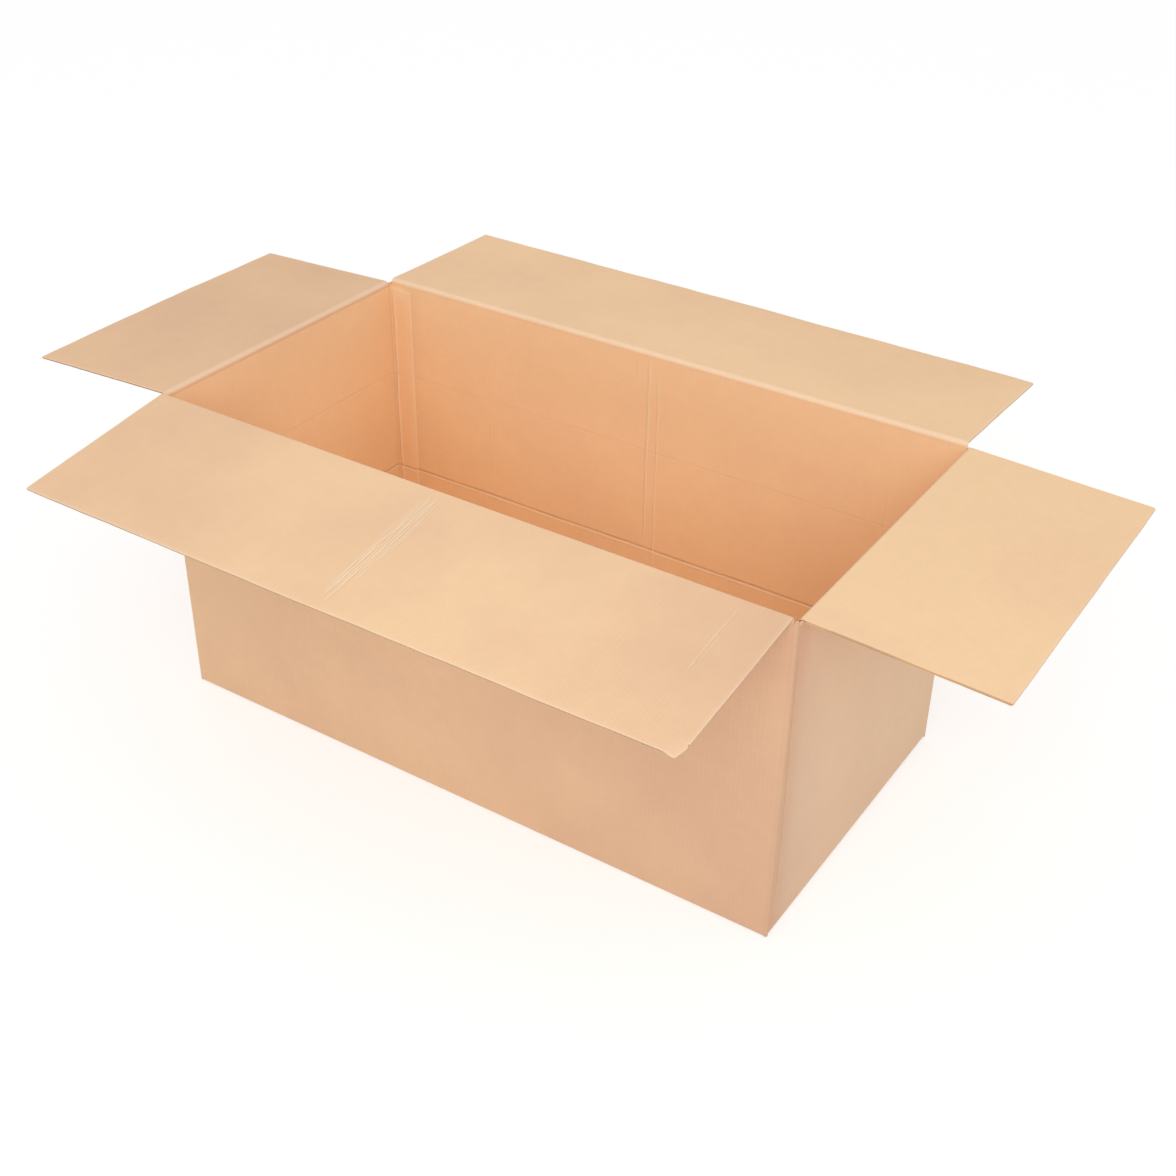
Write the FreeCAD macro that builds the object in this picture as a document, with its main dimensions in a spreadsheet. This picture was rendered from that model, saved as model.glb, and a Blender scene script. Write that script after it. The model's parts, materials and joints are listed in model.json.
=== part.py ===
import FreeCAD, Part
import math
import os

import Sketcher

# Open carton of single-wall corrugated board, a regular slotted case: one folded sheet with four
# walls, a glued side tab and a closed bottom, and four top flaps that turn on their fold lines.
# Millimetres. +Z is up and +X runs along the long walls. The origin is the middle of the underside.

DRIVING_SIZES = [
    # name, value, what it sets
    ("length_in", 1200, "between the short walls"),
    ("width_in", 606, "between the long walls"),
    ("wall_height", 593, "underside to the fold line of the short flaps"),
    ("board", 4, "thickness of the corrugated board"),
    ("bend_inside", 1, "inner radius of a folded corner"),
    ("flap_length", 305.85, "fold line to free edge, half the carton's width"),
    ("closed_gap", 2.6, "between the bottom flaps that meet under the carton"),
    ("corner_lip", 0.5, "flat wall left between a corner bend and a flap's slot"),
    ("slot_relief", 1, "between a flap's side edge and the corner post"),
    ("post_foot", 1.5, "underside to the cut lower end of a corner post"),
    ("hinge_standoff", 0.15, "fold line to the outer face of the wall"),
    ("fold_relief", 0.4, "board pressed away on each side of a fold line"),
    ("stack_gap", 0.4, "between a closed short flap and the long flap over it"),
    ("fold_rounding", 3, "radius where a pressed fold meets the flat board"),
    ("front_droop_angle", 8, "degrees that the front flap hangs below level"),
    ("back_droop_angle", 2.1, "degrees, back flap"),
    ("left_droop_angle", 2.5, "degrees, left flap"),
    ("right_droop_angle", 2.6, "degrees, right flap"),
    ("tab_width", 50, "side tab, from the corner to its cut edge"),
    ("tab_clearance", 6, "from the tab to the folds above and below it"),
    ("tab_taper", 5, "drop of the tab's slanted ends over its width"),
    ("seam_recess", 2, "back wall's cut edge, behind the left wall's outer face"),
    ("low_crease_height", 188, "lower crease round the walls"),
    ("high_crease_height", 402, "upper crease round the walls"),
    ("crease_width", 6, "width of a pressed crease"),
    ("crease_depth", 0.9, "depth of a pressed crease"),
    ("half_fold_offset", 3, "middle of the upright half-fold creases, from the carton's middle"),
    ("half_fold_pitch", 20, "between the two half-fold creases"),
    ("corner_wear", 3, "radius of a worn flap corner"),
    ("crush_along_edge", 7, "crushed corner of the front flap, along its free edge"),
    ("crush_along_side", 25, "crushed corner of the front flap, along its side"),
    ("flute_pitch", 7.9, "from one flute to the next, C flute"),
    ("flute_wall", 0.7, "paper left between two hollows at the liner"),
    ("liner", 0.6, "paper left over and under a hollow"),
    ("hollow_depth", 6, "depth of the open flute ends along a cut edge"),
    ("crease_stop", 8, "from the end of a flap's creases to its free edge"),
]

doc = FreeCAD.newDocument("open_carton")
sheet = doc.addObject("Spreadsheet::Sheet", "sizes")


class Size:
    """A size as its number now, with the expression on the sheet's cells that drives it."""

    def __init__(self, number, text):
        self.number = number
        self.text = text

    def __add__(self, other):
        other = as_size(other)
        return Size(self.number + other.number, f"({self.text} + {other.text})")

    def __sub__(self, other):
        other = as_size(other)
        return Size(self.number - other.number, f"({self.text} - {other.text})")

    def __mul__(self, other):
        other = as_size(other)
        return Size(self.number * other.number, f"({self.text} * {other.text})")

    def __truediv__(self, other):
        other = as_size(other)
        return Size(self.number / other.number, f"({self.text} / {other.text})")

    def __neg__(self):
        return self * -1


def as_size(value):
    return value if isinstance(value, Size) else Size(float(value), f"({value})")


def fill_sheet():
    """Write the driving sizes to the sheet and return them by name."""
    named = {}
    for row, (name, value, meaning) in enumerate(DRIVING_SIZES, start=1):
        sheet.set(f"A{row}", name)
        sheet.set(f"B{row}", str(value))
        sheet.set(f"C{row}", meaning)
        sheet.setAlias(f"B{row}", name)
        named[name] = Size(float(value), f"sizes.{name}")
    doc.recompute()
    return named


size = fill_sheet()
board = size["board"]

# Wall faces, measured from the carton's middle planes
inside_x = size["length_in"] / 2
inside_y = size["width_in"] / 2
outside_x = inside_x + board
outside_y = inside_y + board
bend_outside = size["bend_inside"] + board

# Corner posts stand between the flaps' slots, and the flaps end just short of them
post_x = inside_x - size["bend_inside"] - size["corner_lip"]
post_y = inside_y - size["bend_inside"] - size["corner_lip"]
long_flap_half = post_x - size["slot_relief"]
short_flap_half = post_y - size["slot_relief"]

# The left wall folds inside the back wall, so it and its flaps end one board sooner there
seam_post_y = post_y - board
left_flap_back = short_flap_half - board

# Fold lines. The long flaps fold one board higher, so that they close over the short ones.
short_fold_z = size["wall_height"]
long_fold_z = short_fold_z + board + size["stack_gap"]
post_top_z = short_fold_z - size["fold_relief"]

# Bands at the foot and the head of the walls that are drawn as fold sections
fold_band = board * 3
foot_band_z = fold_band
head_band_z = post_top_z - fold_band
floor_z = board * 2


def draw_outline(sketch, corners):
    """Draw a closed outline. A corner is (x, y) when sharp, or (x, y, radius) when rounded."""
    count = len(corners)
    points = [FreeCAD.Vector(corner[0].number, corner[1].number, 0) for corner in corners]
    ways = [(points[(i + 1) % count] - points[i]).normalize() for i in range(count)]
    turns = [signed_turn(ways[i - 1], ways[i]) for i in range(count)]
    setbacks = [rounding_of(corners[i]) * abs(math.tan(turns[i] / 2)) for i in range(count)]

    marks = [add_corner_mark(sketch, corners[i], points[i]) for i in range(count)]
    lines = []
    for i in range(count):
        after = (i + 1) % count
        start = points[i] + ways[i] * setbacks[i]
        end = points[after] - ways[i] * setbacks[after]
        lines.append(sketch.addGeometry(Part.LineSegment(start, end), False))
    for i in range(count):
        if len(corners[i]) == 3:
            join_with_arc(sketch, lines[i - 1], lines[i], marks[i], corners[i][2], points[i],
                          ways[i - 1], turns[i])
        else:
            sketch.addConstraint(Sketcher.Constraint("Coincident", lines[i - 1], 2, marks[i], 1))
            sketch.addConstraint(Sketcher.Constraint("Coincident", lines[i], 1, marks[i], 1))


def signed_turn(way_in, way_out):
    return math.atan2(way_in.x * way_out.y - way_in.y * way_out.x, way_in.dot(way_out))


def rounding_of(corner):
    return corner[2].number if len(corner) == 3 else 0.0


def add_corner_mark(sketch, corner, point):
    """Add the construction point that holds a corner's place, bound to the sheet."""
    mark = sketch.addGeometry(Part.Point(point), True)
    for kind, place in (("DistanceX", corner[0]), ("DistanceY", corner[1])):
        rule = Sketcher.Constraint(kind, -1, 1, mark, 1, place.number)
        index = sketch.addConstraint(rule)
        sketch.setExpression(f"Constraints[{index}]", place.text)
    return mark


def join_with_arc(sketch, line_in, line_out, mark, radius, point, way_in, turn):
    """Round one corner with an arc tangent to both lines, whose corner point stays on them."""
    side = 1 if turn > 0 else -1
    across = FreeCAD.Vector(-way_in.y, way_in.x, 0) * side
    setback = radius.number * abs(math.tan(turn / 2))
    centre = point - way_in * setback + across * radius.number
    first = math.atan2(-across.y, -across.x)
    angles = (first, first + turn) if turn > 0 else (first + turn, first)
    circle = Part.Circle(centre, FreeCAD.Vector(0, 0, 1), radius.number)
    arc = sketch.addGeometry(Part.ArcOfCircle(circle, angles[0], angles[1]), False)
    begin, finish = (1, 2) if turn > 0 else (2, 1)
    sketch.addConstraint(Sketcher.Constraint("Tangent", line_in, 2, arc, begin))
    sketch.addConstraint(Sketcher.Constraint("Tangent", arc, finish, line_out, 1))
    sketch.addConstraint(Sketcher.Constraint("PointOnObject", mark, 1, line_in))
    sketch.addConstraint(Sketcher.Constraint("PointOnObject", mark, 1, line_out))
    index = sketch.addConstraint(Sketcher.Constraint("Radius", arc, radius.number))
    sketch.setExpression(f"Constraints[{index}]", radius.text)


def new_sketch(body, name, plane, outlines, offset=None):
    """Sketch the outlines on one of the body's own planes, moved along its normal by offset."""
    sketch = body.newObject("Sketcher::SketchObject", name)
    base = [item for item in body.Origin.OriginFeatures if item.Role == plane][0]
    sketch.AttachmentSupport = (base, [""])
    sketch.MapMode = "FlatFace"
    if offset is not None:
        sketch.setExpression(".AttachmentOffset.Base.z", offset.text)
    for corners in outlines:
        draw_outline(sketch, corners)
    doc.recompute()
    return sketch


def add_feature(body, kind, name, sketch, length):
    """Pad or pocket a sketch by length, half to each side of its plane."""
    before = body.Shape.Volume if body.Tip else 0.0
    feature = body.newObject(f"PartDesign::{kind}", name)
    feature.Profile = sketch
    feature.SideType = "Symmetric"
    feature.setExpression("Length", length.text)
    sketch.Visibility = False
    doc.recompute()
    change = body.Shape.Volume - before
    if (change <= 0) == (kind == "Pad"):
        raise RuntimeError(f"{name} changed nothing")
    return feature


def mirrored(corners, flip_x, flip_y):
    """The same outline on the other side of one or both middle planes."""
    return [(corner[0] * flip_x, corner[1] * flip_y) + tuple(corner[2:]) for corner in corners]


def wall_ring(body):
    """The straight part of the four walls between the fold bands."""
    outer = [(-outside_x, -outside_y, bend_outside), (outside_x, -outside_y, bend_outside),
             (outside_x, outside_y, bend_outside)] + seam_corner()
    inner = [(-inside_x, -inside_y, size["bend_inside"]), (inside_x, -inside_y, size["bend_inside"]),
             (inside_x, inside_y, size["bend_inside"]), (-inside_x, inside_y)]
    middle = (foot_band_z + head_band_z) / 2
    sketch = new_sketch(body, "wall_section", "XY_Plane", [outer, inner], middle)
    add_feature(body, "Pad", "walls", sketch, head_band_z - foot_band_z)


def seam_corner():
    """Back-left corner from outside: the back wall's cut edge, then the bend into the side tab."""
    cut_edge_x = -outside_x + size["seam_recess"]
    return [(cut_edge_x, outside_y), (cut_edge_x, inside_y - size["bend_inside"]),
            (-outside_x, inside_y - board, size["bend_inside"] * 2)]


def corner_posts(body):
    """The folded upright corners, which reach the flap slots at both ends."""
    plain = [(post_x, outside_y), (outside_x, outside_y, bend_outside), (outside_x, post_y),
             (inside_x, post_y), (inside_x, inside_y, size["bend_inside"]), (post_x, inside_y)]
    outlines = [mirrored(plain, x, y) for x, y in ((1, 1), (1, -1), (-1, -1))]
    with_seam = [(-post_x, outside_y)] + seam_corner() + [
        (-outside_x, seam_post_y), (-inside_x, seam_post_y), (-inside_x, inside_y),
        (-post_x, inside_y)]
    middle = (post_top_z + size["post_foot"]) / 2
    sketch = new_sketch(body, "post_section", "XY_Plane", outlines + [with_seam], middle)
    add_feature(body, "Pad", "corner_posts", sketch, post_top_z - size["post_foot"])


def add_wall_section(body, name, wall, section):
    """Pad a section of one wall, drawn for the +X or +Y side, between the wall's two posts."""
    plane, side, length, offset = {
        "front": ("YZ_Plane", -1, post_x * 2, None),
        "back": ("YZ_Plane", 1, post_x * 2, None),
        "left": ("XZ_Plane", -1, post_y + seam_post_y, (post_y - seam_post_y) / 2),
        "right": ("XZ_Plane", 1, post_y * 2, None)}[wall]
    sketch = new_sketch(body, f"{wall}_{name}_section", plane, [mirrored(section, side, 1)], offset)
    add_feature(body, "Pad", f"{wall}_{name}", sketch, length)


def bottom_flaps(body):
    """The folded bottom: long flaps outside with a seam along the middle, short flaps on them."""
    seam_y = size["closed_gap"] / 2
    underside = as_size(0)
    long_flap = [(outside_y, foot_band_z), (outside_y, underside, bend_outside),
                 (seam_y, underside), (seam_y, board),
                 (inside_y, board, size["bend_inside"]), (inside_y, foot_band_z)]
    end_x = outside_x - size["flap_length"]
    short_flap = [(outside_x, foot_band_z), (outside_x, board, bend_outside),
                  (end_x, board), (end_x, floor_z),
                  (inside_x, floor_z, size["bend_inside"]), (inside_x, foot_band_z)]
    for wall, section in (("front", long_flap), ("back", long_flap),
                          ("left", short_flap), ("right", short_flap)):
        add_wall_section(body, "bottom_flap", wall, section)


def wall_heads(body):
    """The wall tops, each pressed to a slope that starts at its fold line."""
    for wall, outside, inside, fold_z in (
            ("front", outside_y, inside_y, long_fold_z), ("back", outside_y, inside_y, long_fold_z),
            ("left", outside_x, inside_x, short_fold_z), ("right", outside_x, inside_x, short_fold_z)):
        top_z = fold_z - size["fold_relief"]
        section = [(outside, head_band_z), (outside, top_z),
                   (inside, top_z - board, size["fold_rounding"]), (inside, head_band_z)]
        add_wall_section(body, "wall_head", wall, section)


def side_tab(body):
    """The tab that the left wall folds into, glued to the inside of the back wall."""
    low_z = floor_z + size["tab_clearance"]
    high_z = post_top_z - size["tab_clearance"]
    edge_x = size["tab_width"] - inside_x
    outline = [(-inside_x, low_z), (edge_x, low_z + size["tab_taper"]),
               (edge_x, high_z - size["tab_taper"]), (-inside_x, high_z)]
    sketch = new_sketch(body, "tab_outline", "XZ_Plane", [outline], -(inside_y - board / 2))
    add_feature(body, "Pad", "side_tab", sketch, board)


def wall_creases(body):
    """Two creases round the inside of the walls, and two upright ones where it was folded flat."""
    half_width = size["crease_width"] / 2
    depth = size["crease_depth"]
    heights = (size["low_crease_height"], size["high_crease_height"])

    def level_marks(face, side):
        return [[(face, height - half_width), (face + depth * side, height),
                 (face, height + half_width)] for height in heights]

    # Each crease runs from corner bend to corner bend, and the back wall's starts at the tab's edge
    end_x = inside_x - size["bend_inside"]
    end_y = inside_y - size["bend_inside"]
    tab_edge = size["tab_width"] - inside_x
    for name, plane, marks, start, end in (
            ("front_wall_creases", "YZ_Plane", level_marks(-inside_y, -1), -end_x, end_x),
            ("back_wall_creases", "YZ_Plane", level_marks(inside_y, 1), tab_edge, end_x),
            ("tab_creases", "YZ_Plane", level_marks(inside_y - board, 1), -end_x, tab_edge),
            ("left_wall_creases", "XZ_Plane", level_marks(-inside_x, -1), end_y - board, -end_y),
            ("right_wall_creases", "XZ_Plane", level_marks(inside_x, 1), end_y, -end_y)):
        along_normal = (start + end) / (2 if plane == "YZ_Plane" else -2)
        length = end - start if plane == "YZ_Plane" else start - end
        sketch = new_sketch(body, name + "_section", plane, marks, along_normal)
        add_feature(body, "Pocket", name, sketch, length)

    upright = []
    for place in half_fold_places():
        for face, side in ((-inside_y, -1), (inside_y, 1)):
            upright.append([(place - half_width, face), (place, face + depth * side),
                            (place + half_width, face)])
    reach = long_fold_z - floor_z
    sketch = new_sketch(body, "half_fold_section", "XY_Plane", upright, floor_z + reach / 2)
    add_feature(body, "Pocket", "half_fold_creases", sketch, reach)


def half_fold_places():
    """Where the two half-fold creases stand along the carton."""
    half_pitch = size["half_fold_pitch"] / 2
    return (size["half_fold_offset"] - half_pitch, size["half_fold_offset"] + half_pitch)


def carton_body():
    """The folded sheet: walls, side tab and closed bottom, all one piece."""
    body = doc.addObject("PartDesign::Body", "carton_body")
    wall_ring(body)
    corner_posts(body)
    bottom_flaps(body)
    wall_heads(body)
    side_tab(body)
    wall_creases(body)
    return body


def top_flap(name, sides, free_corners, fold_line, yaw, droop):
    """One top flap, drawn level with its fold line at the origin and then hung in its place.

    The flap points along +Y of its own frame, between sides, the x of its two side edges.
    fold_line is the middle of the fold on the carton, and yaw turns the flap to face outwards.
    """
    body = doc.addObject("PartDesign::Body", name)
    lower_face = size["hinge_standoff"]
    root = size["fold_relief"]
    outline = [(sides[0], root)] + free_corners + [(sides[1], root)]
    sketch = new_sketch(body, name + "_outline", "XY_Plane", [outline], lower_face + board / 2)
    add_feature(body, "Pad", name + "_board", sketch, board)

    upper_face = lower_face + board
    spare = board / 2
    slope_end = root + board
    flat_end = slope_end + size["fold_rounding"] * 2
    pressed = [(root - spare, lower_face - spare),
               (slope_end, upper_face, size["fold_rounding"]),
               (flat_end, upper_face), (flat_end, upper_face + spare),
               (root - spare, upper_face + spare)]
    sketch = new_sketch(body, name + "_fold_section", "YZ_Plane", [pressed])
    add_feature(body, "Pocket", name + "_fold", sketch, (post_x + spare) * 2)

    place = f"vector({fold_line[0].text}; {fold_line[1].text}; {fold_line[2].text})"
    facing = f"rotation({yaw}; 0; {(-droop).text})"
    body.setExpression("Placement", f"placement({place}; {facing})")
    doc.recompute()
    return body


def flap_creases(body, side):
    """The half-fold creases across a long flap. side is -1 where the flap's own X runs backwards."""
    half_width = size["crease_width"] / 2
    upper_face = size["hinge_standoff"] + board
    marks = []
    for place in half_fold_places():
        here = place * side
        marks.append([(here - half_width, upper_face), (here, upper_face - size["crease_depth"]),
                      (here + half_width, upper_face)])
    name = body.Name + "_creases"
    reach = size["flap_length"] - size["crease_stop"]
    sketch = new_sketch(body, name + "_section", "XZ_Plane", marks, -(reach / 2))
    add_feature(body, "Pocket", name, sketch, reach)


def flute_ends(body, sides):
    """The flutes' open ends, a row of hollows along the free edge."""
    pitch = size["flute_pitch"]
    under_liner = size["hinge_standoff"] + board - size["liner"]
    over_liner = size["hinge_standoff"] + size["liner"]
    half_open = pitch / 2 - size["flute_wall"]
    margin = size["crush_along_edge"] + size["corner_wear"] + pitch / 2
    first = sides[0] + margin
    hollow = [(first - half_open, under_liner), (first, over_liner), (first + half_open, under_liner)]
    sketch = new_sketch(body, body.Name + "_flute_section", "XZ_Plane", [hollow],
                        -size["flap_length"])
    pocket = add_feature(body, "Pocket", body.Name + "_flute_end", sketch, size["hollow_depth"] * 2)
    row = body.newObject("PartDesign::LinearPattern", body.Name + "_flute_ends")
    row.Originals = [pocket]
    row.Direction = (sketch, ["H_Axis"])
    row.Mode = "Spacing"
    row.setExpression("Offset", pitch.text)
    span = sides[1] - sides[0] - margin * 2
    row.setExpression("Occurrences", f"floor({span.text} / {pitch.text}) + 1")
    body.Tip = row
    before = body.Shape.Volume
    doc.recompute()
    if body.Shape.Volume >= before:
        raise RuntimeError(f"{row.Name} changed nothing")


def worn_corners(sides):
    """The free corners of a flap, slightly rounded."""
    edge = size["flap_length"]
    return [(sides[0], edge, size["corner_wear"]), (sides[1], edge, size["corner_wear"])]


def crushed_corner(sides):
    """Free corners of the front flap, one of them crushed off at a slant."""
    edge = size["flap_length"]
    soft = size["corner_wear"]
    return [(sides[0], edge - size["crush_along_side"], soft),
            (sides[0] + size["crush_along_edge"], edge, soft),
            (sides[1], edge, soft)]


def top_flaps():
    """The four top flaps, open as they stand."""
    long_out = outside_y + size["hinge_standoff"]
    short_out = outside_x + size["hinge_standoff"]
    middle = as_size(0)
    long_sides = (-long_flap_half, long_flap_half)
    left_sides = (-short_flap_half, left_flap_back)
    right_sides = (-short_flap_half, short_flap_half)
    front = top_flap("flap_front", long_sides, crushed_corner(long_sides),
                     (middle, -long_out, long_fold_z), 180, size["front_droop_angle"])
    back = top_flap("flap_back", long_sides, worn_corners(long_sides),
                    (middle, long_out, long_fold_z), 0, size["back_droop_angle"])
    left = top_flap("flap_left", left_sides, worn_corners(left_sides),
                    (-short_out, middle, short_fold_z), 90, size["left_droop_angle"])
    right = top_flap("flap_right", right_sides, worn_corners(right_sides),
                     (short_out, middle, short_fold_z), -90, size["right_droop_angle"])
    flap_creases(front, -1)
    flap_creases(back, 1)
    for flap, sides in ((front, long_sides), (back, long_sides), (left, left_sides),
                        (right, right_sides)):
        flute_ends(flap, sides)
    return [front, back, left, right]


def check_document():
    for item in doc.Objects:
        if "Invalid" in item.State or "Error" in item.State:
            raise RuntimeError(f"{item.Name} failed: {item.State}")


def write_pieces(pieces):
    os.makedirs("parts", exist_ok=True)
    for piece in pieces:
        shape = piece.Shape
        if shape.isNull() or not shape.isValid() or len(shape.Solids) != 1:
            raise RuntimeError(f"{piece.Label} is not one valid solid")
    for piece in pieces:
        piece.Shape.exportStep(f"parts/{piece.Label}.step")
        print(piece.Label, round(piece.Shape.Volume), "mm3")


pieces = [carton_body()] + top_flaps()
doc.recompute()
check_document()
write_pieces(pieces)
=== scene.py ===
import json
import math

import bpy
import numpy as np
from mathutils import Matrix, Vector


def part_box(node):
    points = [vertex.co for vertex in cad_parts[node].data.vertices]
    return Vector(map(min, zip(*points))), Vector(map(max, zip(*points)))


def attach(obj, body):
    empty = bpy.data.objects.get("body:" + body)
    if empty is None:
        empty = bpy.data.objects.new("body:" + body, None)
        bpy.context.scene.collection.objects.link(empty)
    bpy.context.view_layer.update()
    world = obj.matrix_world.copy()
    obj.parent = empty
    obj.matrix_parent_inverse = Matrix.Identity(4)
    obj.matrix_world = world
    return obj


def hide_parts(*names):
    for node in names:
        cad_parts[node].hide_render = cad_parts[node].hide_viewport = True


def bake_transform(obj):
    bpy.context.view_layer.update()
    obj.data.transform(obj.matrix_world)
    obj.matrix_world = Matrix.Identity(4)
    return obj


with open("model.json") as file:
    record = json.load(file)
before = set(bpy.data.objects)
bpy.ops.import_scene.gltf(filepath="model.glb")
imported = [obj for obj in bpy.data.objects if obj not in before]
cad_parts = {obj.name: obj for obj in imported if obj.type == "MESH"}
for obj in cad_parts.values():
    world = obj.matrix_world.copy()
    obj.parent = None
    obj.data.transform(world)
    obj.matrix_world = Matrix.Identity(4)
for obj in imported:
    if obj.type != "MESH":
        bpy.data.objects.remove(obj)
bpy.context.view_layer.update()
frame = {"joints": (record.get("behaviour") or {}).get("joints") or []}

# Open carton of single-wall corrugated kraft board. Sizes are millimetres until a piece is folded,
# and metres after that. The walls and bottom are one sheet, cut flat, scored and folded here as the
# maker does it, and each top flap is two liners with the fluting between them.

MM = 0.001

# The carton's own sizes, read from the frame
wall_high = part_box("carton_body")[1]
OUT_X = wall_high.x / MM
OUT_Y = wall_high.y / MM
joint_at = {joint["name"]: [place / MM for place in joint["pos_m"]] for joint in frame["joints"]}
LONG_FOLD_Z = joint_at["front_fold"][2]
SHORT_FOLD_Z = joint_at["right_fold"][2]

# The board: C flute, with the washboard that it leaves in the liners
BOARD = 4.0
LINER = 0.35
FLUTE_PITCH = 7.9
FLUTING_THICKNESS = 0.25
BEND_OUT = 5.0
BEND_MIDDLE = 3.0
BEND_LENGTH = BEND_MIDDLE * math.pi / 2

# Flaps and slots. STRIP is the wall above the butt line that a top flap's piece takes with it.
FLAP_LENGTH = 305.85
POST_EDGE = 5.5
FLAP_RELIEF = 1.0
POST_FOOT = 1.5
POST_TOP = SHORT_FOLD_Z - 0.4
STRIP = 8.0
FOLD_HALF = 3.0
FOLD_CRUSH = 0.5
HINGE_GAP = 0.15
TURN_ZONE = 7.0

# The long bottom flaps all but meet once the carton's own weight presses them flat
SEAM_GAP = 0.3

# The glued side tab
TAB_EDGE = 50.0
TAB_LOW = 14.0
TAB_HIGH = 586.6
TAB_TAPER = 5.0
TAPER_REACH = 60.0
SEAM_RECESS = 2.0

# Two places closer than this are the same
TOUCH = 0.01

# Level creases inside, by height
LOW_CREASE = 191.5
LOW_LEDGE = 186.5
HIGH_CREASE = 402.0

# How far an upright crease wanders from its line, and over what length its ends fade
CREASE_WANDER = 1.6
CREASE_FADE = 18.0

# How strongly a crease's two sides are painted: a painted highlight on one side and a painted shade
# on the other
CREASE_LIGHT_AND_SHADE = 1.4

# The wavy crease outside, past the near right corner's bend
OUTER_CREASE_PLACE = 9.5
OUTER_CREASE_DEPTH = 0.55


# Points and small helpers

def read_points(piece):
    """The piece's vertices as an array with one row for each."""
    flat = np.empty(len(piece.data.vertices) * 3)
    piece.data.vertices.foreach_get("co", flat)
    return flat.reshape(-1, 3)


def write_points(piece, points):
    piece.data.vertices.foreach_set("co", np.ascontiguousarray(points, dtype=float).ravel())
    piece.data.update()


def soft_step(t):
    t = np.clip(t, 0, 1)
    return t * t * (3 - 2 * t)


def bump_of(distance, half_width):
    """A round-bottomed groove: 1 on its line and 0 from half_width on."""
    t = np.clip(1 - np.abs(distance) / half_width, 0, 1)
    return t * t * (3 - 2 * t)


def wander(along, seed):
    """A slow, hand-made looking wobble between about -1 and 1."""
    return (0.5 * np.sin(along / 47 + seed) + 0.3 * np.sin(along / 19 + 2.1 * seed)
            + 0.2 * np.sin(along / 7.3 + 3.7 * seed))


def grid_lines(start, end, coarse, fine=()):
    """Places from start to end, coarse apart, and finer at each (middle, half width, step)."""
    places = [start, end]
    places += list(np.linspace(start, end, max(2, int(round((end - start) / coarse)) + 1)))
    zones = []
    for middle, half, step in fine:
        low, high = max(start, middle - half), min(end, middle + half)
        if high > low:
            zones.append((low, high, step))
            places += list(np.linspace(low, high, max(2, int(round((high - low) / step)) + 1)))
    kept = []
    for place in sorted(places):
        nearest = min((step for low, high, step in zones if low <= place <= high), default=coarse)
        if kept and place - kept[-1] < nearest * 0.45 and place != end:
            continue
        if kept and place == end and place - kept[-1] < nearest * 0.45 and len(kept) > 1:
            kept.pop()
        kept.append(place)
    return kept


def pick(pieces):
    """Select these pieces alone and make the first one active."""
    bpy.ops.object.select_all(action="DESELECT")
    for piece in pieces:
        piece.select_set(True)
    bpy.context.view_layer.objects.active = pieces[0]


def cut_sheet(name, columns, rows, height=0.0):
    """A flat sheet whose grid lines lie at the given places across and along."""
    bpy.ops.object.select_all(action="DESELECT")
    bpy.ops.mesh.primitive_grid_add(x_subdivisions=len(columns) - 1, y_subdivisions=len(rows) - 1,
                                    size=1)
    sheet = bpy.context.object
    sheet.name = name
    sheet.data.name = name
    points = read_points(sheet)
    across = np.rint((points[:, 0] + 0.5) * (len(columns) - 1)).astype(int)
    along = np.rint((points[:, 1] + 0.5) * (len(rows) - 1)).astype(int)
    points[:, 0] = np.array(columns)[across]
    points[:, 1] = np.array(rows)[along]
    points[:, 2] = height
    write_points(sheet, points)
    sheet.data.uv_layers[0].name = "blank"
    return sheet


def chart_blank(piece, shift_across, shift_along):
    """Give the flat piece its place on the unfolded blank, in metres, for the paper's patterns."""
    mesh = piece.data
    points = read_points(piece)[:, :2] + (shift_across, shift_along)
    corners = np.empty(len(mesh.loops), dtype=int)
    mesh.loops.foreach_get("vertex_index", corners)
    mesh.uv_layers["blank"].data.foreach_set("uv", (points[corners] * MM).ravel())


def give_thickness(piece, thickness, offset):
    """Solidify a flat sheet: offset 1 thickens it upwards, 0 to both sides."""
    solidify = piece.modifiers.new("thickness", "SOLIDIFY")
    solidify.thickness = thickness
    solidify.offset = offset
    bpy.context.view_layer.objects.active = piece
    bpy.ops.object.modifier_apply(modifier=solidify.name)


def drop_faces(piece, unwanted):
    """Delete the faces whose middle unwanted(x, y) is true for, in edit mode."""
    pick([piece])
    bpy.ops.object.mode_set(mode="EDIT")
    bpy.ops.mesh.select_mode(type="FACE")
    bpy.ops.mesh.select_all(action="DESELECT")
    bpy.ops.object.mode_set(mode="OBJECT")
    middles = np.empty(len(piece.data.polygons) * 3)
    piece.data.polygons.foreach_get("center", middles)
    middles = middles.reshape(-1, 3)
    picked = unwanted(middles[:, 0], middles[:, 1])
    piece.data.polygons.foreach_set("select", picked)
    bpy.ops.object.mode_set(mode="EDIT")
    bpy.ops.mesh.delete(type="FACE")
    bpy.ops.object.mode_set(mode="OBJECT")


def paint(piece, name, values):
    """Store a value from -1 to 1 at each vertex, for the paper's finish to read."""
    attribute = piece.data.attributes.new(name, "FLOAT", "POINT")
    attribute.data.foreach_set("value", np.clip(values, -1, 1).astype(np.float32))


def smooth_piece(piece, degrees):
    pick([piece])
    bpy.ops.object.shade_smooth_by_angle(angle=math.radians(degrees))


def join_pieces(name, parts):
    pick(parts)
    bpy.ops.object.join()
    parts[0].name = name
    parts[0].data.name = name
    return parts[0]


# The blank: tab, left, front, right and back wall in a row, with a corner bend between each two

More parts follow.
